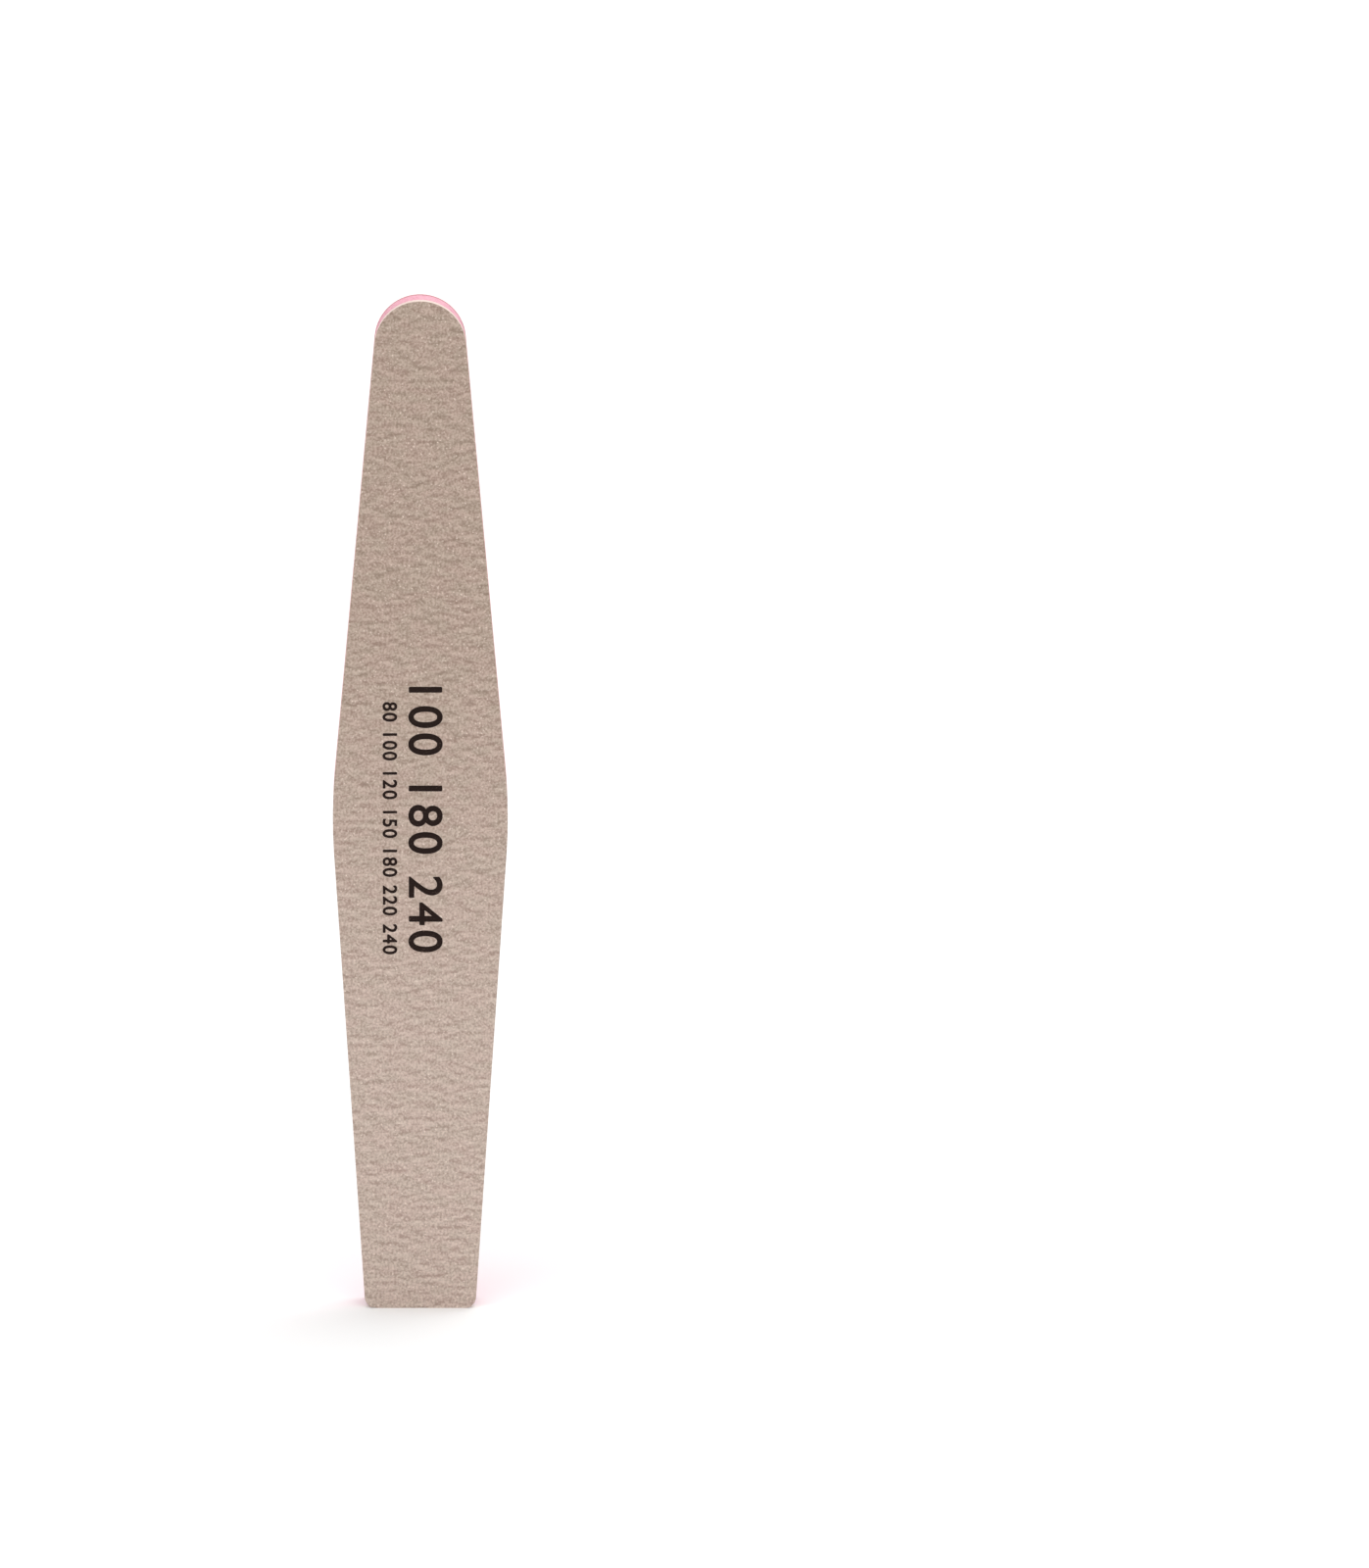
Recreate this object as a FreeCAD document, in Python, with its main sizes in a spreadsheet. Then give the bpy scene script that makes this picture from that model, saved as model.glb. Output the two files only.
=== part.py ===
import FreeCAD, Part
import Sketcher

import math
import os

from FreeCAD import Vector

# Three-way nail buffer block: a die-cut laminate, here standing on its square end.
#
# Frame: +Z runs from the square end to the round tip, -Y is the front, with one long abrasive
# sheet, and +Y is the back, with two short abrasive sheets that meet at a seam. The origin is the
# middle of the square end.
#
# From front to back the block is grit coat, paper, tape, stiffener board, tape, foam, tape, film
# and grit coat. One die cuts every layer to one outline. The foam gives under the die, so the
# layers on its back roll over towards the edge, while the layers on the stiff board stay flat.

# alias, value in mm or degrees, meaning
SIZES = (
    ("length", 178.0, "square end to the crown of the tip"),
    ("belly_width", 30.5, "width at the widest place"),
    ("belly_height", 86.8, "height of the widest place above the square end"),
    ("belly_radius", 85.0, "rounding of the two flat bends at the widest place"),
    ("end_width", 19.5, "width of the square end"),
    ("end_corner_radius", 2.0, "corners of the square end"),
    ("tip_radius", 7.95, "round tip"),
    ("seam_above_belly", 2.0, "middle of the back seam above the widest place"),
    ("seam_slant", 1.4, "tilt of the back seam from square, in degrees"),
    ("seam_gap", 0.1, "space left between the two back sheets"),
    ("roll_radius", 2.9, "how tightly the back of the foam rolls over at its edge"),
    ("roll_width", 1.9, "how far in from the cut edge the roll starts"),
    ("roll_corner_radius", 0.3, "corners of the line where the roll starts"),
    ("tape", 0.1, "each film of double-sided tape"),
    ("front_grit", 0.15, "abrasive coat of the front sheet"),
    ("front_paper", 0.25, "paper of the front sheet"),
    ("board", 1.8, "stiffener board"),
    ("foam", 7.05, "foam cushion"),
    ("medium_film", 0.2, "film of the medium sheet, above the seam"),
    ("medium_grit", 0.25, "abrasive coat of the medium sheet"),
    ("fine_film", 0.25, "film of the fine sheet, below the seam"),
    ("fine_grit", 0.12, "abrasive coat of the fine sheet"),
)

# Each layer with the alias of its thickness: those before the foam from the front backwards, and
# those behind the foam on each side of the seam from the foam outwards
FRONT_LAYERS = (
    ("front_grit_coat", "front_grit"),
    ("front_backing_paper", "front_paper"),
    ("front_tape", "tape"),
    ("stiffener_board", "board"),
    ("board_tape", "tape"),
)
MEDIUM_LAYERS = (
    ("medium_tape", "tape"),
    ("medium_backing_film", "medium_film"),
    ("medium_grit_coat", "medium_grit"),
)
FINE_LAYERS = (
    ("fine_tape", "tape"),
    ("fine_backing_film", "fine_film"),
    ("fine_grit_coat", "fine_grit"),
)

# How near to the back plane a vertex of the foam's back rim lies
SAME_PLANE = 1e-4

# Sketcher's numbers for the points of an arc or line, and for the sketch's origin
START, END, CENTRE = 1, 2, 3
SKETCH_ORIGIN = -1


def make_sheet(doc):
    """The spreadsheet that holds every driving dimension."""
    sheet = doc.addObject("Spreadsheet::Sheet", "sizes")
    for row, (alias, value, meaning) in enumerate(SIZES, start=1):
        sheet.set(f"A{row}", meaning)
        sheet.set(f"B{row}", str(value))
        sheet.setAlias(f"B{row}", alias)
    doc.recompute()
    return sheet


def stack_of(layers):
    """An expression for the thickness of some layers."""
    return " + ".join(f"sizes.{size}" for _, size in layers) or "0"


def block_thickness():
    """An expression for the thickness of the whole block, over the thicker of its back sheets."""
    back = f"max({stack_of(MEDIUM_LAYERS)}; {stack_of(FINE_LAYERS)})"
    return f"({stack_of(FRONT_LAYERS)} + sizes.foam + {back})"


def depth_behind(layer_count):
    """An expression for the y behind the first few front layers. The block is centred on y = 0."""
    return f"{stack_of(FRONT_LAYERS[:layer_count])} - {block_thickness()} / 2"


def mirrored(point):
    return Vector(-point.x, point.y, 0)


def arc(centre, start, end):
    """The part of a circle that runs anticlockwise from start to end."""
    first, last = (math.atan2(p.y - centre.y, p.x - centre.x) for p in (start, end))
    if last < first:
        last += 2 * math.pi
    circle = Part.Circle(centre, Vector(0, 0, 1), centre.distanceToPoint(start))
    return Part.ArcOfCircle(circle, first, last)


def right_tangent(low_centre, low_radius, high_centre, high_radius):
    """The line that touches two circles, one above the other, on their right."""
    apart = high_centre - low_centre
    lean = math.asin((low_radius - high_radius) / apart.Length)
    angle = math.atan2(apart.y, apart.x) - math.pi / 2 + lean
    outwards = Vector(math.cos(angle), math.sin(angle), 0)
    return low_centre + outwards * low_radius, high_centre + outwards * high_radius


def outline_geometry(sheet, end_corner, growth):
    """Lines and arcs anticlockwise round the block, from the square end's left corner.

    The outline is the tangent hull of five circles: one at each corner of the square end, one that
    rounds each side of the belly, and the tip. To grow it, each circle's radius is made larger.
    """
    corner = Vector(sheet.end_width / 2 - end_corner, end_corner, 0)
    belly = Vector(sheet.belly_width / 2 - sheet.belly_radius, sheet.belly_height, 0)
    tip = Vector(0, sheet.length - sheet.tip_radius, 0)
    corner_radius = end_corner + growth
    belly_radius = sheet.belly_radius + growth
    tip_radius = sheet.tip_radius + growth

    base = corner - Vector(0, corner_radius, 0)
    flank_start, flank_end = right_tangent(corner, corner_radius, belly, belly_radius)
    shoulder_start, shoulder_end = right_tangent(belly, belly_radius, tip, tip_radius)
    return (
        Part.LineSegment(mirrored(base), base),
        arc(corner, base, flank_start),
        Part.LineSegment(flank_start, flank_end),
        arc(belly, flank_end, shoulder_start),
        Part.LineSegment(shoulder_start, shoulder_end),
        arc(tip, shoulder_end, mirrored(shoulder_end)),
        Part.LineSegment(mirrored(shoulder_end), mirrored(shoulder_start)),
        arc(mirrored(belly), mirrored(shoulder_start), mirrored(flank_end)),
        Part.LineSegment(mirrored(flank_end), mirrored(flank_start)),
        arc(mirrored(corner), mirrored(flank_start), mirrored(base)),
    )


def outline_arcs(corner):
    """Each arc in that outline, with expressions for its centre and its radius."""
    corner_across = f"(sizes.end_width / 2 - {corner})"
    belly_across = "(sizes.belly_width / 2 - sizes.belly_radius)"
    return {
        1: (corner_across, corner, corner),
        3: (belly_across, "sizes.belly_height", "sizes.belly_radius"),
        5: ("0", "sizes.length - sizes.tip_radius", "sizes.tip_radius"),
        7: (f"-{belly_across}", "sizes.belly_height", "sizes.belly_radius"),
        9: (f"-{corner_across}", corner, corner),
    }


def draw_outline(sketch, sheet, corner, growth):
    """Draws the outline with this corner radius and growth, two expressions, tied to the sheet."""
    corner_now, growth_now = (float(sketch.evalExpression(size)) for size in (corner, growth))
    outline = outline_geometry(sheet, corner_now, growth_now)
    for piece in outline:
        sketch.addGeometry(piece, False)
    for number in range(len(outline)):
        following = (number + 1) % len(outline)
        sketch.addConstraint(Sketcher.Constraint("Tangent", number, END, following, START))

    for number, (across, up, radius) in outline_arcs(corner).items():
        centre = outline[number].Center
        dimensions = (
            (("DistanceX", SKETCH_ORIGIN, START, number, CENTRE, centre.x), across),
            (("DistanceY", SKETCH_ORIGIN, START, number, CENTRE, centre.y), up),
            (("Radius", number, outline[number].Radius), f"{radius} + {growth}"),
        )
        for constraint, expression in dimensions:
            place = sketch.addConstraint(Sketcher.Constraint(*constraint))
            sketch.setExpression(f"Constraints[{place}]", expression)


def pad_outline(
    doc,
    sheet,
    name,
    thickness,
    depth,
    corner="sizes.end_corner_radius",
    growth="0",
    backwards=False,
):
    """A body that is the outline padded forwards, or backwards, from the plane y = depth."""
    body = doc.addObject("PartDesign::Body", name)
    body.Label = name
    sketch = body.newObject("Sketcher::SketchObject", f"{name}_outline")
    plane = next(p for p in body.Origin.OriginFeatures if p.Role == "XZ_Plane")
    sketch.AttachmentSupport = (plane, "")
    sketch.MapMode = "FlatFace"
    draw_outline(sketch, sheet, corner, growth)

    pad = body.newObject("PartDesign::Pad", f"{name}_pad")
    pad.Profile = sketch
    pad.Reversed = backwards
    pad.setExpression("Length", thickness)
    body.setExpression("Placement.Base.y", depth)
    doc.recompute()
    return body


def rolled_dome(doc, sheet, name, layers):
    """The foam with some layers on its back: a pad wider than the block with a rounded back rim.

    The pad stands out past the cut edge by so much that only the first part of the rounding, the
    roll, is left when the die has cut it. Its length, its outline and its rounding all grow with
    the layers, so that each layer keeps its thickness in the roll. Its corners at the square end
    are as large as the roll needs, and it still covers the die's smaller corners.
    """
    over = stack_of(layers)
    body = pad_outline(
        doc,
        sheet,
        name,
        thickness=f"sizes.foam + {over}",
        depth=depth_behind(len(FRONT_LAYERS)),
        corner="(sizes.roll_width + sizes.roll_corner_radius)",
        growth=f"sizes.roll_radius - sizes.roll_width + {over}",
        backwards=True,
    )
    pad = body.Tip
    back_rim = [
        f"Edge{number}"
        for number, edge in enumerate(pad.Shape.Edges, start=1)
        if all(abs(v.Y - pad.Length.Value) < SAME_PLANE for v in edge.Vertexes)
    ]
    fillet = body.newObject("PartDesign::Fillet", f"{name}_roll")
    fillet.Base = (pad, back_rim)
    fillet.setExpression("Radius", f"sizes.roll_radius + {over}")
    doc.recompute()
    return body


def combine(doc, kind, name, base, tool):
    """A Part::Cut or Part::Common of two objects."""
    made = doc.addObject(kind, name)
    made.Label = name
    made.Base = base
    made.Tool = tool
    doc.recompute()
    return made


def side_of_seam(doc, name, above):
    """A block over everything on one side of the seam, half the seam's gap away from it.

    It is made against a level seam, with its middle over the widest place, and then turned about
    the seam's own middle.
    """
    block = doc.addObject("Part::Box", name)
    block.Label = name
    block.setExpression("Length", "2 * sizes.belly_width")
    block.setExpression("Width", f"2 * {block_thickness()}")
    block.setExpression("Height", "sizes.length")
    start = "sizes.seam_gap / 2" if above else "-sizes.seam_gap / 2 - sizes.length"
    seam = "sizes.belly_height + sizes.seam_above_belly"
    corner = f"vector(-sizes.belly_width; -{block_thickness()}; {seam} + {start})"
    turn = "rotation(vector(0; 1; 0); -sizes.seam_slant)"
    seam_middle = f"vector(sizes.belly_width; {block_thickness()}; -({start}))"
    block.setExpression("Placement", f"placement({corner}; {turn}; {seam_middle})")
    doc.recompute()
    return block


def back_sheet(doc, sheet, layers, foam_dome, die_cut, side):
    """The layers of one back sheet, each the space between two domes, cut by the die and seam."""
    cut_side = combine(doc, "Part::Common", f"{side.Label}_of_die_cut", die_cut, side)
    made = []
    inner = foam_dome
    for count, (name, _) in enumerate(layers, start=1):
        outer = rolled_dome(doc, sheet, f"{name}_dome", layers[:count])
        shell = combine(doc, "Part::Cut", f"{name}_shell", outer, inner)
        made.append(combine(doc, "Part::Common", name, shell, cut_side))
        inner = outer
    return made


def check(doc, sub_parts):
    """Stops if any object failed, or a sub-part isn't one valid solid."""
    for thing in doc.Objects:
        if "Invalid" in thing.State or "Error" in thing.State:
            raise RuntimeError(f"{thing.Label} failed: {thing.State}")
        if thing.isDerivedFrom("Sketcher::SketchObject") and not thing.FullyConstrained:
            raise RuntimeError(f"{thing.Label} isn't fully constrained")
    for sub_part in sub_parts:
        shape = sub_part.Shape
        if shape.isNull() or not shape.isValid() or len(shape.Solids) != 1:
            raise RuntimeError(f"{sub_part.Label} isn't one valid solid")


def main():
    doc = FreeCAD.newDocument("nail_buffer_block")
    sheet = make_sheet(doc)

    sub_parts = [
        pad_outline(doc, sheet, name, thickness=f"sizes.{size}", depth=depth_behind(count))
        for count, (name, size) in enumerate(FRONT_LAYERS, start=1)
    ]

    die_cut = pad_outline(
        doc, sheet, "die_cut", thickness=block_thickness(), depth=f"{block_thickness()} / 2"
    )
    foam_dome = rolled_dome(doc, sheet, "foam_dome", ())
    sub_parts.append(combine(doc, "Part::Common", "foam_cushion", foam_dome, die_cut))

    medium_side = side_of_seam(doc, "medium_side", above=True)
    sub_parts += back_sheet(doc, sheet, MEDIUM_LAYERS, foam_dome, die_cut, medium_side)
    fine_side = side_of_seam(doc, "fine_side", above=False)
    sub_parts += back_sheet(doc, sheet, FINE_LAYERS, foam_dome, die_cut, fine_side)

    check(doc, sub_parts)
    os.makedirs("parts", exist_ok=True)
    for sub_part in sub_parts:
        sub_part.Shape.exportStep(f"parts/{sub_part.Label}.step")
        box = sub_part.Shape.optimalBoundingBox(False)
        print(
            f"{sub_part.Label}: {sub_part.Shape.Volume:.1f} mm3, x {box.XLength:.2f},"
            f" y {box.YMin:.2f} to {box.YMax:.2f}, z {box.ZMin:.2f} to {box.ZMax:.2f}"
        )


main()
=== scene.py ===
import math

import bpy
import numpy as np
from mathutils import Matrix, Quaternion, Vector


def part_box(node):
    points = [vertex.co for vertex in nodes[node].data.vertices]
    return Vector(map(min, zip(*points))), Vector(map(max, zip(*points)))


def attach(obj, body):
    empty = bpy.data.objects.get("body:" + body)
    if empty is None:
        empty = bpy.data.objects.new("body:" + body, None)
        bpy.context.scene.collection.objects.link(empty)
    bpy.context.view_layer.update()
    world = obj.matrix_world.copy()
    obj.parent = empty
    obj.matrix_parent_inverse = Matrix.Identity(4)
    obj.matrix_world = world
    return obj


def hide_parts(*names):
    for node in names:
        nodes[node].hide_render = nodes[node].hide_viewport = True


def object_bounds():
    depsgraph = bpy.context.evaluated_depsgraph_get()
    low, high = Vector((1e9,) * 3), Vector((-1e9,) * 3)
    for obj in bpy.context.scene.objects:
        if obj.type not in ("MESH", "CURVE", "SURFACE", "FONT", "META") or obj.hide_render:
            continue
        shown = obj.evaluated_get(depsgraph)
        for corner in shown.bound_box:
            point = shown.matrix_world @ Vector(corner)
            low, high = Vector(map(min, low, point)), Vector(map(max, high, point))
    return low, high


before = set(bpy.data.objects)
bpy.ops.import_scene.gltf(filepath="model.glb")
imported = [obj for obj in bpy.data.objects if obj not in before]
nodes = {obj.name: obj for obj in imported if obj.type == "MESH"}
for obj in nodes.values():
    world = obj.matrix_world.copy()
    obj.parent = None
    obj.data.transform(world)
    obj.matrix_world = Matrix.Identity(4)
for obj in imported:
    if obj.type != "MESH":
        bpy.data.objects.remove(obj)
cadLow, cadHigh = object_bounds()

mm = 0.001  # every size in the dictionaries is in mm, every angle in degrees, every colour from 0 to 255


# Modelling

def pickOnly(*pieces):
    bpy.ops.object.select_all(action="DESELECT")
    for piece in pieces:
        piece.select_set(True)
    bpy.context.view_layer.objects.active = pieces[0]


def startEdit(piece, kind="FACE"):
    pickOnly(piece)
    bpy.ops.object.mode_set(mode="EDIT")
    bpy.ops.mesh.select_mode(type=kind)


def stopEdit():
    bpy.ops.object.mode_set(mode="OBJECT")


def settle(piece):
    pickOnly(piece)
    bpy.ops.object.transform_apply(location=True, rotation=True, scale=True)


def applyModifiers(piece):
    pickOnly(piece)
    for modifier in list(piece.modifiers):
        bpy.ops.object.modifier_apply(modifier=modifier.name)


def addModifier(piece, kind, **settings):
    modifier = piece.modifiers.new(kind.title(), kind)
    for name, value in settings.items():
        setattr(modifier, name, value)


def pick(parts, test):
    parts.foreach_set("select", [bool(test(part)) for part in parts])


def clearPicks(piece):
    for parts in (piece.data.vertices, piece.data.edges, piece.data.polygons):
        parts.foreach_set("select", [False] * len(parts))


def pointsOf(piece):
    points = np.empty(len(piece.data.vertices) * 3, np.float32)
    piece.data.vertices.foreach_get("co", points)
    return points.reshape(-1, 3)


def normalsOf(piece):
    normals = np.empty(len(piece.data.vertices) * 3, np.float32)
    piece.data.vertex_normals.foreach_get("vector", normals)
    return normals.reshape(-1, 3)


def findWalls(node, test):
    # one point and normal for each flat of a node's cut edge, by the way it faces
    sliver = 0.01 * mm * mm
    walls = {}
    for face in nodes[node].data.polygons:
        if abs(face.normal.y) < 0.001 and face.area > sliver and test(face.normal):
            heading = round(math.atan2(face.normal.z, face.normal.x), 2)
            walls[heading] = (face.center.copy(), face.normal.copy())
    return [walls[heading] for heading in sorted(walls)]


dieWalls = findWalls("stiffener_board", lambda normal: True)
seamOf = {  # the end of each back sheet that meets the other one
    "medium": findWalls("medium_grit_coat", lambda normal: normal.z < -0.99),
    "fine": findWalls("fine_grit_coat", lambda normal: normal.z > 0.99),
}


def movedOut(walls, distance):
    # the same walls, this many mm further out
    return [(spot + outwards * distance * mm, outwards) for spot, outwards in walls]


def cutAway(piece, walls, fill=False):
    startEdit(piece)
    for spot, outwards in walls:
        bpy.ops.mesh.select_all(action="SELECT")
        bpy.ops.mesh.bisect(
            plane_co=spot, plane_no=outwards, use_fill=fill, clear_outer=True, threshold=1e-7
        )
    stopEdit()


def insetFromEdge(points):
    # how far inside the cut edge each point lies
    depths = [-(points - np.array(spot)) @ np.array(outwards) for spot, outwards in dieWalls]
    return np.min(depths, axis=0)


def weigh(piece, name, weights):
    group = piece.vertex_groups.new(name=name)
    for index in np.flatnonzero(weights > 0.001):
        group.add([int(index)], float(weights[index]), "REPLACE")
    return group.name


def push(piece, direction, distance, group=""):
    # moves the group's points, or all of them, by a distance in m
    addModifier(
        piece, "DISPLACE", direction=direction, mid_level=0, strength=distance, vertex_group=group
    )
    applyModifiers(piece)


def addRelief(piece, relief, direction="NORMAL", group=""):
    # each layer is a soft noise: the size of its lumps across, through and up, and its height;
    # depth adds finer lumps to them, and shift moves them off those of another layer
    rise = -1 if direction == "Y" else 1  # the front faces -Y, so along Y a rise is backwards
    for name, layer in relief.items():
        texture = bpy.data.textures.new(name, "CLOUDS")
        texture.noise_scale = 1
        texture.noise_depth = layer["depth"]
        ruler = bpy.data.objects.new(name, None)
        ruler.scale = [size * mm for size in layer["lumps"]]
        ruler.location = [shift * mm for shift in layer.get("shift", (0.3, 0.3, 0.3))]
        bpy.context.collection.objects.link(ruler)
        bpy.context.view_layer.update()
        addModifier(
            piece,
            "DISPLACE",
            texture=texture,
            texture_coords="OBJECT",
            texture_coords_object=ruler,
            direction=direction,
            mid_level=0.5,
            strength=layer["height"] * mm * rise,
            vertex_group=group,
        )
        applyModifiers(piece)
        bpy.data.objects.remove(ruler)


def keepValues(piece, name, values):
    attribute = piece.data.attributes.new(name, "FLOAT", "POINT")
    attribute.data.foreach_set("value", np.clip(values, 0, 1).astype(np.float32))


def roughen(sheet, relief):
    # adds the relief, and saves how far each point stands out, 0 in the hollows and 1 on the crests
    points, normals = pointsOf(sheet), normalsOf(sheet)
    addRelief(sheet, relief)
    rise = np.sum((pointsOf(sheet) - points) * normals, axis=1)
    keepValues(sheet, "relief", 0.5 + (rise - rise.mean()) / (rise.std() * 5))


def smooth(piece):
    pickOnly(piece)
    bpy.ops.object.shade_smooth_by_angle(angle=math.radians(50))


def report(piece):
    triangles = sum(len(face.vertices) - 2 for face in piece.data.polygons)
    print(f"{piece.name}: {triangles} triangles")


# Materials

class Wire:
    # a shader socket that takes part in sums

    def __init__(self, shader, socket):
        self.shader = shader
        self.socket = socket

    def maths(self, operation, first, second):
        return self.shader.node("ShaderNodeMath", {"operation": operation}, {0: first, 1: second})

    def __add__(self, other):
        return self.maths("ADD", self, other)

    def __radd__(self, other):
        return self.maths("ADD", other, self)

    def __sub__(self, other):
        return self.maths("SUBTRACT", self, other)

    def __rsub__(self, other):
        return self.maths("SUBTRACT", other, self)

    def __mul__(self, other):
        return self.maths("MULTIPLY", self, other)

    def __rmul__(self, other):
        return self.maths("MULTIPLY", other, self)


def paint(red, green, blue):
    # a screen colour as the shader's linear one
    linear = [((part / 255 + 0.055) / 1.055) ** 2.4 for part in (red, green, blue)]
    return (*linear, 1)


class Shader:
    # the nodes of a material or of the world

    def __init__(self, owner):
        self.owner = owner
        self.owner.use_nodes = True
        self.tree = self.owner.node_tree
        self.tree.nodes.clear()

    def node(self, kind, settings=None, inputs=None, output=0):
        made = self.tree.nodes.new(kind)
        for name, value in (settings or {}).items():
            setattr(made, name, value)
        for name, value in (inputs or {}).items():
            if isinstance(value, Wire):
                self.tree.links.new(value.socket, made.inputs[name])
            else:
                made.inputs[name].default_value = value
        return Wire(self, made.outputs[output]) if made.outputs else None

    def place(self):
        return self.node("ShaderNodeTexCoord", output="Object")

    def height(self):
        # how far up the block, in m
        return self.node("ShaderNodeSeparateXYZ", None, {0: self.place()}, "Z")

    def kept(self, name):
        # the values saved on the piece under this name
        return self.node("ShaderNodeAttribute", {"attribute_name": name}, None, "Fac")

    def lumps(self, sizes, detail=2, roughness=0.5):
        # soft noise from 0 to 1 whose lumps have these sizes across, through and up
        scale = [1 / (size * mm) for size in sizes]
        spot = self.node("ShaderNodeMapping", None, {"Vector": self.place(), "Scale": scale})
        inputs = {"Vector": spot, "Scale": 1, "Detail": detail, "Roughness": roughness}
        return self.node("ShaderNodeTexNoise", None, inputs)

    def cells(self, spacing):
        # how far it is to the nearest of many scattered spots, as a share of their spacing
        inputs = {"Vector": self.place(), "Scale": 1 / (spacing * mm)}
        return self.node("ShaderNodeTexVoronoi", None, inputs)

    def between(self, value, low, high):
        # from 0 to 1, smoothly, as the value goes from low to high
        inputs = {"Value": value, "From Min": low, "From Max": high}
        return self.node("ShaderNodeMapRange", {"interpolation_type": "SMOOTHSTEP"}, inputs)

    def blend(self, factor, first, second):
        # colours, each either from the shader or three numbers
        inputs = {0: factor}
        for name, colour in ((6, first), (7, second)):
            inputs[name] = colour if isinstance(colour, Wire) else paint(*colour)
        return self.node("ShaderNodeMix", {"data_type": "RGBA"}, inputs, 2)

    def done(self, colour, roughness, specular, bump=None, bumpHeight=0):
        surface = {"Base Color": colour, "Roughness": roughness, "Specular IOR Level": specular}
        if bump is not None:
            inputs = {"Strength": 1, "Distance": bumpHeight * mm, "Height": bump}
            surface["Normal"] = self.node("ShaderNodeBump", None, inputs)
        body = self.node("ShaderNodeBsdfPrincipled", None, surface)
        self.node("ShaderNodeOutputMaterial", None, {"Surface": body})
        return self.owner


def newShader(name):
    return Shader(bpy.data.materials.new(name))


def finishWith(piece, material):
    piece.data.materials.clear()
    piece.data.materials.append(material)


# The long striped sheet on the front

zebra = {
    "cell": 0.25,  # of the mesh
    "relief": {
        "ridges": {"lumps": (2.2, 500, 0.72), "height": 0.1, "depth": 0},
        "furrows": {"lumps": (2.2, 500, 0.72), "height": -0.1, "depth": 0, "shift": (0.7, 0, 1.1)},
        "swells": {"lumps": (3.5, 500, 1.6), "height": 0.03, "depth": 0},
        "clumps": {"lumps": (0.42, 500, 0.4), "height": 0.06, "depth": 0},
    },
    # the relief paints its hollows darker and its crests lighter: painted shade and painted highlight for
    # light falling on the crinkles
    "paintedRidgeShadeContrast": 0.7,
    "grainSize": (0.42, 0.42, 0.4),
    "grainContrast": 2.0,
    # the darker colour holds the painted shade in the hollows and the paper's darker grain, the lighter
    # one the painted highlight on the crests and its paler grain
    "hollowPaintedShade": (144, 124, 110),
    "crest": (203, 183, 169),
    # painted light: the same two colours, paler, for the lower part of the paper
    "paintedLighterHollowBelow": (165, 145, 134),
    "paintedLighterCrestBelow": (220, 202, 190),
    "paintedLightFade": (135, 30),  # painted light: the heights where the paler colours of the lower part begin and are complete, as if lit from the floor
    "patchSize": (3.5, 3.5, 1.8),
    "patchStrength": 0.14,
    "sand": (176, 162, 142),
    "blush": (196, 160, 150),
    "fleckSpacing": 0.6,
    "fleckStrength": 0.8,
    "fleck": (236, 220, 208),
}


def zebraFinish():
    shader = newShader("zebra_grit")
    grain = shader.lumps(zebra["grainSize"], 1, 0.6)
    # painted shade in the hollows and painted highlight on the crests, from the relief; the grain added
    # to it is the paper's own tone
    paintedRidgeShade = (shader.kept("relief") - 0.5) * zebra["paintedRidgeShadeContrast"]
    tone = shader.between(paintedRidgeShade + (grain - 0.5) * zebra["grainContrast"], -0.7, 0.7)
    above = shader.blend(tone, zebra["hollowPaintedShade"], zebra["crest"])
    # painted light: the lower part of the paper painted paler
    paintedLighterBelow = shader.blend(tone, zebra["paintedLighterHollowBelow"], zebra["paintedLighterCrestBelow"])
    fadeStart, fadeEnd = zebra["paintedLightFade"]
    colour = shader.blend(shader.between(shader.height(), fadeStart * mm, fadeEnd * mm), above, paintedLighterBelow)
    patches = shader.between(shader.lumps(zebra["patchSize"]), 0.35, 0.65)
    tint = shader.blend(patches, zebra["sand"], zebra["blush"])
    colour = shader.blend(zebra["patchStrength"], colour, tint)
    flecks = shader.between(shader.cells(zebra["fleckSpacing"]), 0.26, 0.12)
    flecks = flecks * shader.between(grain, 0.46, 0.6)
    colour = shader.blend(flecks * zebra["fleckStrength"], colour, zebra["fleck"])
    roughness = 0.95 - flecks * 0.35 - grain * 0.15
    return shader.done(colour, roughness, 0.25, grain, 0.06)


def makeSheet(name, node, cell, facing):
    # a fine grid that fills the node's face; facing is -1 for the front and 1 for the back
    low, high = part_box(node)
    width, height = high.x - low.x, high.z - low.z
    bpy.ops.object.select_all(action="DESELECT")
    bpy.ops.mesh.primitive_grid_add(
        x_subdivisions=round(width / (cell * mm)),
        y_subdivisions=round(height / (cell * mm)),
        size=1,
        location=(0, low.y if facing < 0 else high.y, (low.z + high.z) / 2),
        rotation=(math.radians(-90 * facing), 0, 0),
    )
    sheet = bpy.context.object
    sheet.name = name
    sheet.scale = (width, height, 1)
    settle(sheet)
    return sheet


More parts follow.
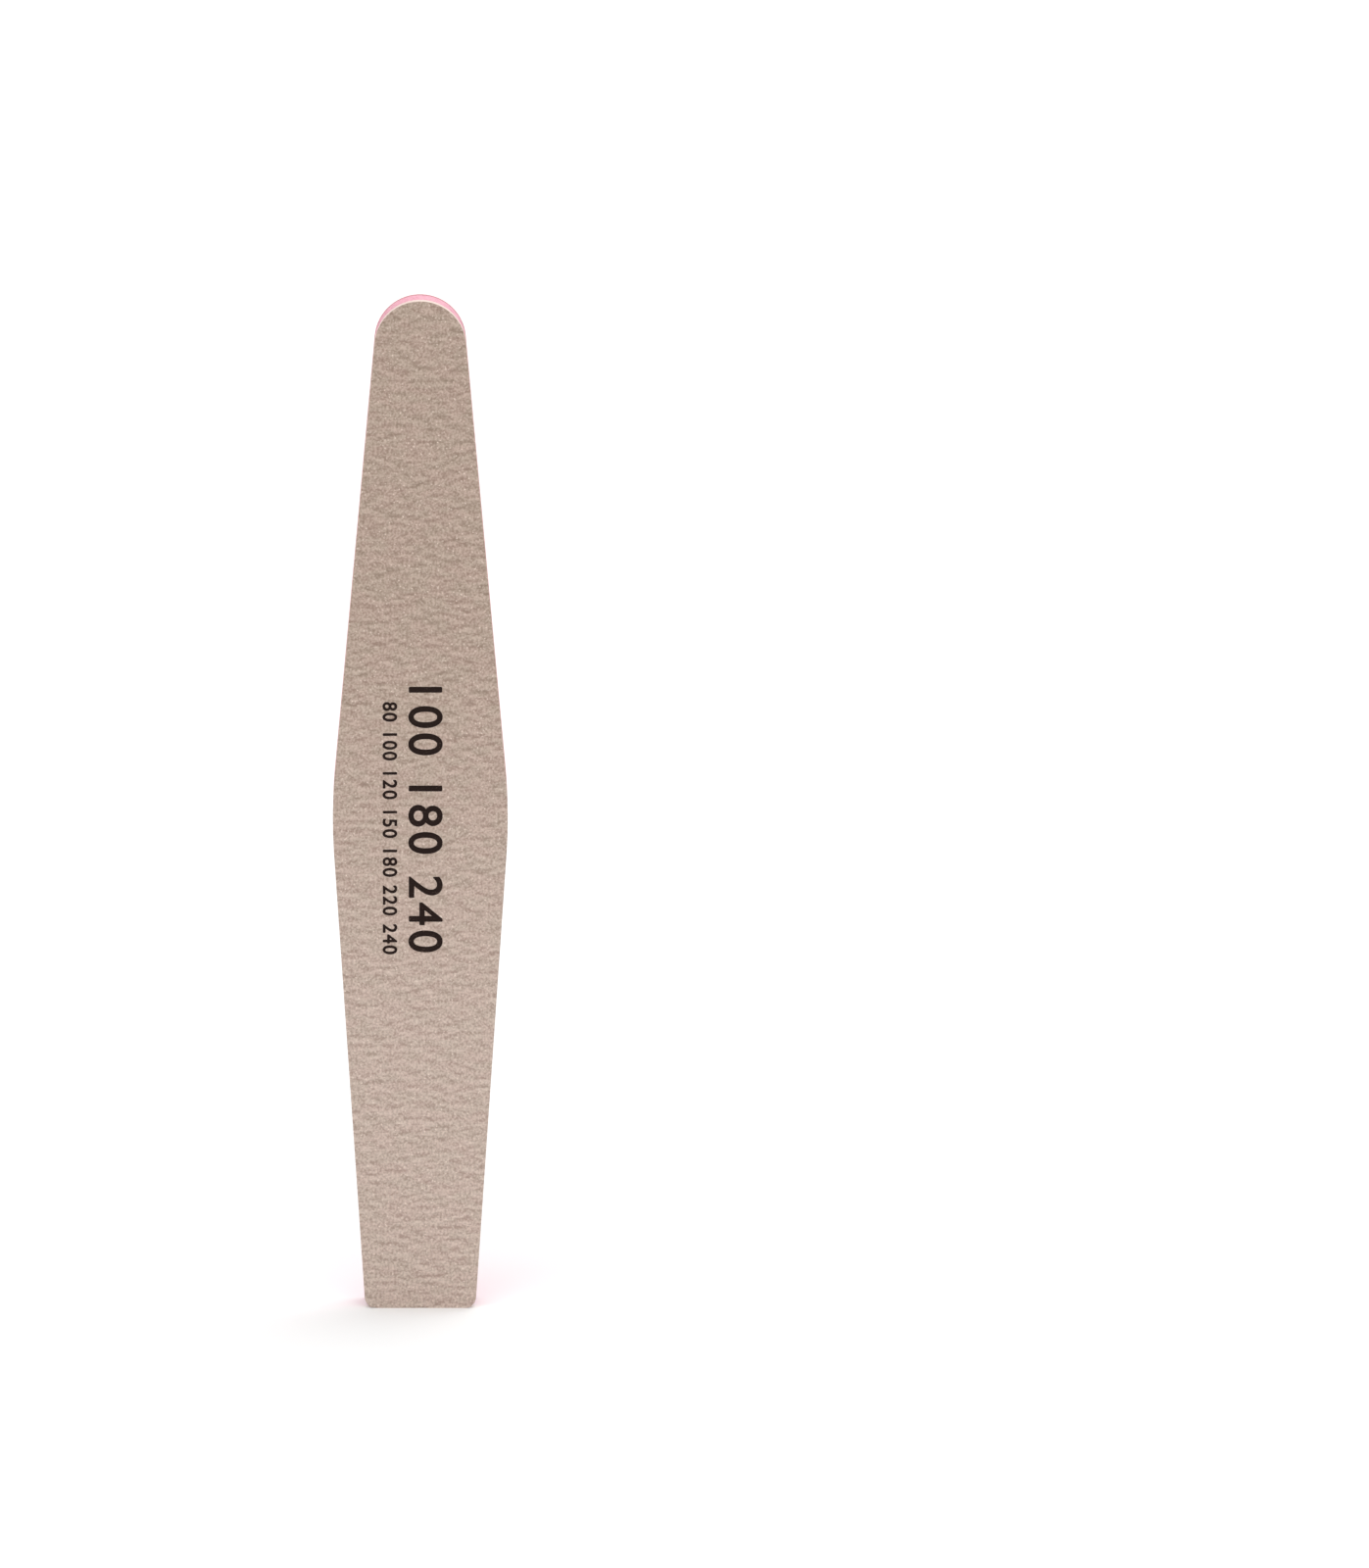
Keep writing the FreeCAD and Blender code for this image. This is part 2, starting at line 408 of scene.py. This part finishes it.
def makeZebraSheet():
    node = "front_grit_coat"
    sheet = makeSheet("zebra_abrasive", node, zebra["cell"], -1)
    cutAway(sheet, dieWalls)
    roughen(sheet, zebra["relief"])

    # its thickness: drawn back in one move, then pressed flat against the paper
    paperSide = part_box(node)[1].y
    startEdit(sheet)
    bpy.ops.mesh.select_all(action="SELECT")
    bpy.ops.mesh.extrude_region_move(TRANSFORM_OT_translate={"value": (0, 0.1 * mm, 0)})
    bpy.ops.transform.resize(value=(1, 0, 1), center_override=(0, paperSide, 0))
    bpy.ops.mesh.dissolve_faces()
    bpy.ops.mesh.select_all(action="SELECT")
    bpy.ops.mesh.normals_make_consistent(inside=False)
    stopEdit()
    smooth(sheet)
    finishWith(sheet, zebraFinish())
    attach(sheet, "root")
    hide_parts(node)
    report(sheet)


# The printed numbers

numbers = {
    "rows": (
        {"text": "100 180 240", "tall": 6.0, "long": 47, "across": 0.9, "middle": 86.8},
        {"text": "80 100 120 150 180 220 240", "tall": 2.6, "long": 44.7, "across": -5.3, "middle": 85.3},
    ),
    "letterSpacing": 1.15,
    "bold": 0.11,  # added all round the strokes
    "voxel": 0.07,  # how finely the digits are meshed
    "thickness": 0.12,
    "proud": 0.035,
    "ink": (30, 14, 8),
    "worn": (112, 92, 82),
    "wearStrength": 0.5,
}


def inkFinish():
    shader = newShader("printed_ink")
    grain = shader.lumps((0.25, 0.25, 0.2), 3, 0.7)
    relief = shader.lumps((1.9, 3, 0.42))
    worn = shader.between(grain + relief * 0.5, 0.86, 1.02)
    colour = shader.blend(worn * numbers["wearStrength"], numbers["ink"], numbers["worn"])
    return shader.done(colour, 0.75 - worn * 0.1, 0.2, grain, 0.04)


def makeRow(row):
    bpy.ops.object.select_all(action="DESELECT")
    bpy.ops.object.text_add(location=(0, 0, 0))
    text = bpy.context.object
    text.data.body = row["text"]
    text.data.align_x = "CENTER"
    text.data.align_y = "CENTER"
    text.data.size = 1
    text.data.space_character = numbers["letterSpacing"]
    text.data.extrude = 0.03  # pressed to the ink's thickness further down
    bpy.ops.object.convert(target="MESH")
    scale = row["tall"] / (pointsOf(text)[:, 1].max() - pointsOf(text)[:, 1].min())
    addModifier(text, "REMESH", mode="VOXEL", voxel_size=numbers["voxel"] / scale)
    push(text, "NORMAL", numbers["bold"] / scale)

    # reads downwards, with the tops of the digits towards +X
    points = pointsOf(text)
    low, high = points.min(0), points.max(0)
    centre = Vector(((low + high) / 2).tolist())
    front = cadLow.y - numbers["proud"] * mm + numbers["thickness"] * mm / 2
    turn = Matrix(((0, 1, 0), (0, 0, -1), (-1, 0, 0))).to_4x4()
    sizes = (row["long"], row["tall"], numbers["thickness"])
    stretch = Matrix.Diagonal((*(np.array(sizes) * mm / (high - low)).tolist(), 1))
    place = Matrix.Translation((row["across"] * mm, front, row["middle"] * mm))
    text.matrix_world = place @ turn @ stretch @ Matrix.Translation(-centre)
    settle(text)
    return text


def makeNumbers():
    rows = [makeRow(row) for row in numbers["rows"]]
    pickOnly(*rows)
    bpy.ops.object.join()
    printed = bpy.context.object
    printed.name = "printed_numbers"
    addRelief(printed, zebra["relief"], "Y")  # the ink follows the ridges under it
    smooth(printed)
    finishWith(printed, inkFinish())
    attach(printed, "root")
    report(printed)


# The two sheets on the back

back = {
    "rollWidth": 1.9,  # how far in from the cut edge the back starts to roll over
    "foamRadius": 2.9,  # of that roll, at the foam
    "overSeam": 0.04,  # how far each sheet reaches into the gap between the two
    "springBack": 0.09,  # how far inside the board's edge the foam and the back's grit end, once cut
    "grainSize": (0.42, 0.42, 0.42),
    "patchSize": (5, 5, 5),
    "patchStrength": 0.3,
    # painted glints: lighter specks for the sparkle of the grit
    "paintedGlintSpacing": 0.8,
    "paintedGlintStrength": 0.6,
}
springWalls = movedOut(dieWalls, -back["springBack"])

medium = {
    "slot": "light_pink_grit",
    "cell": 0.25,  # of the mesh
    "relief": {
        "clods": {"lumps": (0.42, 0.42, 0.42), "height": 0.1, "depth": 0},
        "pebbles": {"lumps": (0.28, 0.28, 0.28), "height": 0.07, "depth": 0},
    },
    "reliefContrast": 0.6,
    "grainContrast": 2.0,
    "bumpHeight": 0.07,
    "roughness": 0.75,
    "pit": (236, 148, 154),
    "crest": (255, 204, 202),
    "warm": (252, 180, 172),
    "rosy": (255, 160, 176),
    # painted sheen where the sheet rolls over at its cut edge
    "rim": (255, 176, 190),
    "dotSpacing": 0.68,
    "dotStrength": 0.6,
    "dot": (212, 124, 136),
    # the colour of the painted glints
    "paintedGlint": (255, 224, 218),
}
fine = {
    "slot": "hot_pink_grit",
    "cell": 0.25,  # of the mesh
    "relief": {
        "ripples": {"lumps": (1.2, 1.2, 1.2), "height": 0.02, "depth": 0},
        "grit": {"lumps": (0.3, 0.3, 0.3), "height": 0.025, "depth": 0},
    },
    "reliefContrast": 0.5,
    "grainContrast": 1.6,
    "bumpHeight": 0.03,
    "roughness": 0.6,
    "pit": (241, 42, 120),
    "crest": (255, 76, 146),
    "warm": (255, 58, 130),
    "rosy": (252, 58, 144),
    # painted sheen where the sheet rolls over at its cut edge
    "rim": (234, 106, 170),
    "dotSpacing": 1.0,
    "dotStrength": 0.35,
    "dot": (228, 40, 112),
    # the colour of the painted glints
    "paintedGlint": (255, 140, 190),
}


def backFinish(options):
    shader = newShader(options["slot"])
    grain = shader.lumps(back["grainSize"], 1, 0.6)
    ridges = (shader.kept("relief") - 0.5) * options["reliefContrast"]
    tone = shader.between(ridges + (grain - 0.5) * options["grainContrast"], -0.7, 0.7)
    colour = shader.blend(tone, options["pit"], options["crest"])
    patches = shader.between(shader.lumps(back["patchSize"], 3), 0.35, 0.65)
    tint = shader.blend(patches, options["warm"], options["rosy"])
    colour = shader.blend(back["patchStrength"], colour, tint)
    dots = shader.between(shader.cells(options["dotSpacing"]), 0.42, 0.12)
    dots = dots * shader.between(grain, 0.62, 0.45)
    colour = shader.blend(dots * options["dotStrength"], colour, options["dot"])
    rim = shader.kept("rim")  # painted sheen on the rolled edge: 1 at the cut edge, 0 where the sheet lies flat
    colour = shader.blend(rim * (rim + 0.6) * 0.5, colour, options["rim"])
    # painted glints: lighter specks for the sparkle of the grit's grains, which also get a lower
    # roughness there
    paintedGlints = shader.between(shader.cells(back["paintedGlintSpacing"]), 0.2, 0.1)
    paintedGlints = paintedGlints * shader.between(grain, 0.48, 0.6)
    colour = shader.blend(paintedGlints * back["paintedGlintStrength"], colour, options["paintedGlint"])
    roughness = options["roughness"] + grain * 0.2 - paintedGlints * 0.4
    return shader.done(colour, roughness, 0.3, grain, options["bumpHeight"])


def makeBackSheet(grade, options):
    node = f"{grade}_grit_coat"
    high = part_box(node)[1]
    sheet = makeSheet(f"{grade}_abrasive", node, options["cell"], 1)
    cutAway(sheet, springWalls)
    cutAway(sheet, movedOut(seamOf[grade], back["overSeam"]))

    # the roll towards the cut edge
    radius = back["foamRadius"] * mm + (high.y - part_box("foam_cushion")[1].y)
    reach = np.clip(back["rollWidth"] * mm - insetFromEdge(pointsOf(sheet)), 0, None)
    drop = radius - np.sqrt(radius**2 - reach**2)
    # how far into the roll each point lies, for the painted sheen of the rolled edge
    keepValues(sheet, "rim", reach / (back["rollWidth"] * mm))
    push(sheet, "Y", -float(drop.max()), weigh(sheet, "roll", drop / drop.max()))

    roughen(sheet, options["relief"])
    thickness = high.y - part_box(f"{grade}_backing_film")[1].y
    addModifier(sheet, "SOLIDIFY", thickness=thickness, offset=-1)
    applyModifiers(sheet)
    smooth(sheet)
    finishWith(sheet, backFinish(options))
    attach(sheet, "root")
    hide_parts(node)
    report(sheet)


# The foam

foam = {
    "cell": 0.24,  # of the mesh
    "steps": (0.5, 1.0, 1.4),  # how far in from the cut edge the back rises under the rolled sheets
    "waist": 0.25,  # how hollow the cut edge is
    "relief": {
        "pores": {"lumps": (0.3, 0.3, 0.3), "height": 0.12, "depth": 1},
        "waves": {"lumps": (2.5, 2.5, 2.5), "height": 0.08, "depth": 1},
    },
    "grainSize": (0.35, 0.35, 0.35),
    "cloudSize": (2.2, 2.2, 2.2),
    "body": (236, 167, 184),
    "skin": (246, 191, 204),
    "poreSpacing": 0.55,
    # painted shade: how much darker the pores are
    "paintedPoreShadeStrength": 0.6,
    "paintedPoreShade": (212, 126, 150),
}


def foamFinish():
    shader = newShader("pink_foam")
    grain = shader.lumps(foam["grainSize"], 2, 0.6)
    clouds = shader.lumps(foam["cloudSize"], 3)
    tone = shader.between((grain - 0.5) * 1.4 + (clouds - 0.5) * 0.8, -0.5, 0.5)
    colour = shader.blend(tone, foam["body"], foam["skin"])
    # painted shade in the pores, which the bump also sinks
    pores = shader.between(shader.cells(foam["poreSpacing"]), 0.46, 0.16)
    pores = pores * shader.between(grain, 0.42, 0.56)
    colour = shader.blend(pores * foam["paintedPoreShadeStrength"], colour, foam["paintedPoreShade"])
    return shader.done(colour, 0.9 - grain * 0.1, 0.3, grain * 0.5 - pores, 0.06)


def subdivideEdges(piece, test, longest):
    # halves the edges that pass the test until none of them is longer than this
    while True:
        points = piece.data.vertices

        def tooLong(edge):
            first, second = (points[index].co for index in edge.vertices)
            return test(first, second) and (first - second).length > longest

        clearPicks(piece)
        pick(piece.data.edges, tooLong)
        if not any(edge.select for edge in piece.data.edges):
            return
        for edge in piece.data.edges:
            if edge.select:
                for index in edge.vertices:
                    points[index].select = True
        startEdit(piece, "EDGE")
        bpy.ops.mesh.subdivide(number_cuts=1)
        stopEdit()


def makeFoam():
    low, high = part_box("foam_cushion")
    radius, width = back["foamRadius"] * mm, back["rollWidth"] * mm

    def levelAt(inset):
        # how far back the foam reaches, this far in from the cut edge
        return high.y - radius + math.sqrt(radius**2 - (width - inset) ** 2)

    edge = levelAt(0)
    bpy.ops.object.select_all(action="DESELECT")
    bpy.ops.mesh.primitive_cube_add(size=1, location=(0, (low.y + edge) / 2, (low.z + high.z) / 2))
    block = bpy.context.object
    block.name = "foam_core"
    spare = 2 * mm  # cut off again by the die
    block.scale = (high.x - low.x + spare, edge - low.y, high.z - low.z + spare)
    settle(block)
    cutAway(block, springWalls, fill=True)
    cell, flat = foam["cell"] * mm, 0.01 * mm
    subdivideEdges(block, lambda first, second: abs(first.y - second.y) < flat, 1.5 * cell)
    subdivideEdges(block, lambda first, second: abs(first.y - second.y) > flat, 1.2 * cell)

    # the back rises in steps under the rolled sheets
    clearPicks(block)
    pick(block.data.polygons, lambda face: face.normal.y > 0.9)
    startEdit(block)
    reached, risen = 0, edge
    for step in foam["steps"]:
        bpy.ops.mesh.inset(thickness=step * mm - reached, depth=levelAt(step * mm) - risen)
        reached, risen = step * mm, levelAt(step * mm)
    stopEdit()

    # the cut edge is slightly hollow and full of pores
    points = pointsOf(block)
    onWall = insetFromEdge(points) < (back["springBack"] + 0.01) * mm
    across = np.clip((points[:, 1] - low.y) / (edge - low.y), 0, 1)
    bow = 4 * across * (1 - across) * onWall
    push(block, "NORMAL", -foam["waist"] * mm, weigh(block, "waist", bow))
    addRelief(block, foam["relief"], "NORMAL", weigh(block, "wall", np.clip(bow * 4, 0, 1)))
    smooth(block)
    finishWith(block, foamFinish())
    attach(block, "root")
    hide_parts("foam_cushion")
    report(block)


# The layers that show only at the cut edge

layers = {
    "backing_paper": {
        "nodes": ("front_backing_paper",),
        "body": (214, 192, 176),
        "lines": (190, 166, 150),
        "roughness": 0.9,
    },
    "cream_board": {
        "nodes": ("stiffener_board",),
        "body": (250, 232, 222),
        "lines": (236, 208, 198),
        "roughness": 0.7,
    },
    "clear_tape": {
        "nodes": ("front_tape", "board_tape"),
        "body": (244, 226, 220),
        "lines": (232, 206, 202),
        "roughness": 0.45,
    },
    "light_pink_film": {
        "nodes": ("medium_tape", "medium_backing_film"),
        "body": (250, 212, 208),
        "lines": (244, 198, 196),
        "roughness": 0.7,
    },
    "hot_pink_film": {
        "nodes": ("fine_tape", "fine_backing_film"),
        "body": (244, 78, 142),
        "lines": (222, 58, 122),
        "roughness": 0.6,
    },
}


def layerFinish(name, layer):
    # fine lines along the layer, as the die leaves them
    shader = newShader(name)
    lines = shader.lumps((1.2, 0.06, 1.2), 3, 0.6)
    specks = shader.lumps((0.3, 0.3, 0.3))
    tone = shader.between(lines * 0.6 + specks * 0.4, 0.38, 0.62)
    colour = shader.blend(tone, layer["lines"], layer["body"])
    return shader.done(colour, layer["roughness"] - specks * 0.1, 0.35, lines, 0.03)


def dressLayers():
    for name, layer in layers.items():
        material = layerFinish(name, layer)
        for node in layer["nodes"]:
            finishWith(nodes[node], material)
    print("layers dressed")


# Floor, light and camera

studio = {
    "floorSize": 30,  # in m
    "floor": (250, 250, 250),
    "sky": 0.46,  # light from all round, where the white behind the block is 1
    "suns": (
        {"name": "key", "azimuth": -10, "elevation": 48, "strength": 0.9, "angle": 60},
        {"name": "backFill", "azimuth": 150, "elevation": 46, "strength": 0.95, "angle": 60},
        {"name": "top", "azimuth": 0, "elevation": 90, "strength": 0.9, "angle": 70},
    ),
}
view = {
    "lens": 400,
    "sensor": 36,
    "frameHeight": 273.6,  # what the camera takes in from top to bottom, at the block
    "elevation": 9.9,
    "right": 46.1,  # the point looked at: this far right of the block's middle line
    "lookAt": 92.25,  # and this far above the floor
    "roll": 0.14,
}


def lightWorld():
    # plain white behind the block, and a dimmer light from all round
    world = bpy.data.worlds.new("studio")
    bpy.context.scene.world = world
    shader = Shader(world)
    behind = shader.node("ShaderNodeLightPath", output="Is Camera Ray")
    strength = studio["sky"] + behind * (1 - studio["sky"])
    glow = shader.node("ShaderNodeBackground", None, {"Color": (1, 1, 1, 1), "Strength": strength})
    shader.node("ShaderNodeOutputWorld", None, {"Surface": glow})


def layFloor():
    bpy.ops.object.select_all(action="DESELECT")
    bpy.ops.mesh.primitive_plane_add(size=studio["floorSize"], location=(0, 0, 0))
    floor = bpy.context.object
    floor.name = "floor"
    finishWith(floor, newShader("pale_floor").done(paint(*studio["floor"]), 1.0, 0.0))


def hangSun(sun):
    light = bpy.data.lights.new(sun["name"], "SUN")
    light.energy = sun["strength"]
    light.angle = math.radians(sun["angle"])
    azimuth, elevation = math.radians(sun["azimuth"]), math.radians(sun["elevation"])
    level = math.cos(elevation)
    towards = Vector((math.sin(azimuth) * level, -math.cos(azimuth) * level, math.sin(elevation)))
    lamp = bpy.data.objects.new(sun["name"], light)
    lamp.rotation_euler = towards.to_track_quat("Z", "Y").to_euler()
    bpy.context.collection.objects.link(lamp)


def makeStudio():
    lightWorld()
    layFloor()
    for sun in studio["suns"]:
        hangSun(sun)
    bpy.context.scene.view_settings.view_transform = "Standard"
    print("studio lit")


def makeCamera():
    # straight in front of the block, turned a little to the right of it and looking down on it
    camera = bpy.data.objects.new("camera", bpy.data.cameras.new("camera"))
    camera.data.lens = view["lens"]
    camera.data.sensor_width = view["sensor"]
    camera.data.clip_end = 100
    distance = view["frameHeight"] * mm * view["lens"] / view["sensor"]
    elevation = math.radians(view["elevation"])
    target = Vector((view["right"] * mm, 0, view["lookAt"] * mm))
    camera.location = (0, -distance * math.cos(elevation), target.z + distance * math.sin(elevation))
    aim = (camera.location - target).to_track_quat("Z", "Y")
    roll = Quaternion((0, 0, 1), math.radians(view["roll"]))
    camera.rotation_euler = (aim @ roll).to_euler()
    bpy.context.collection.objects.link(camera)
    bpy.context.scene.camera = camera
    print("camera set")


makeCamera()
makeStudio()
makeZebraSheet()
makeNumbers()
makeBackSheet("medium", medium)
makeBackSheet("fine", fine)
makeFoam()
dressLayers()
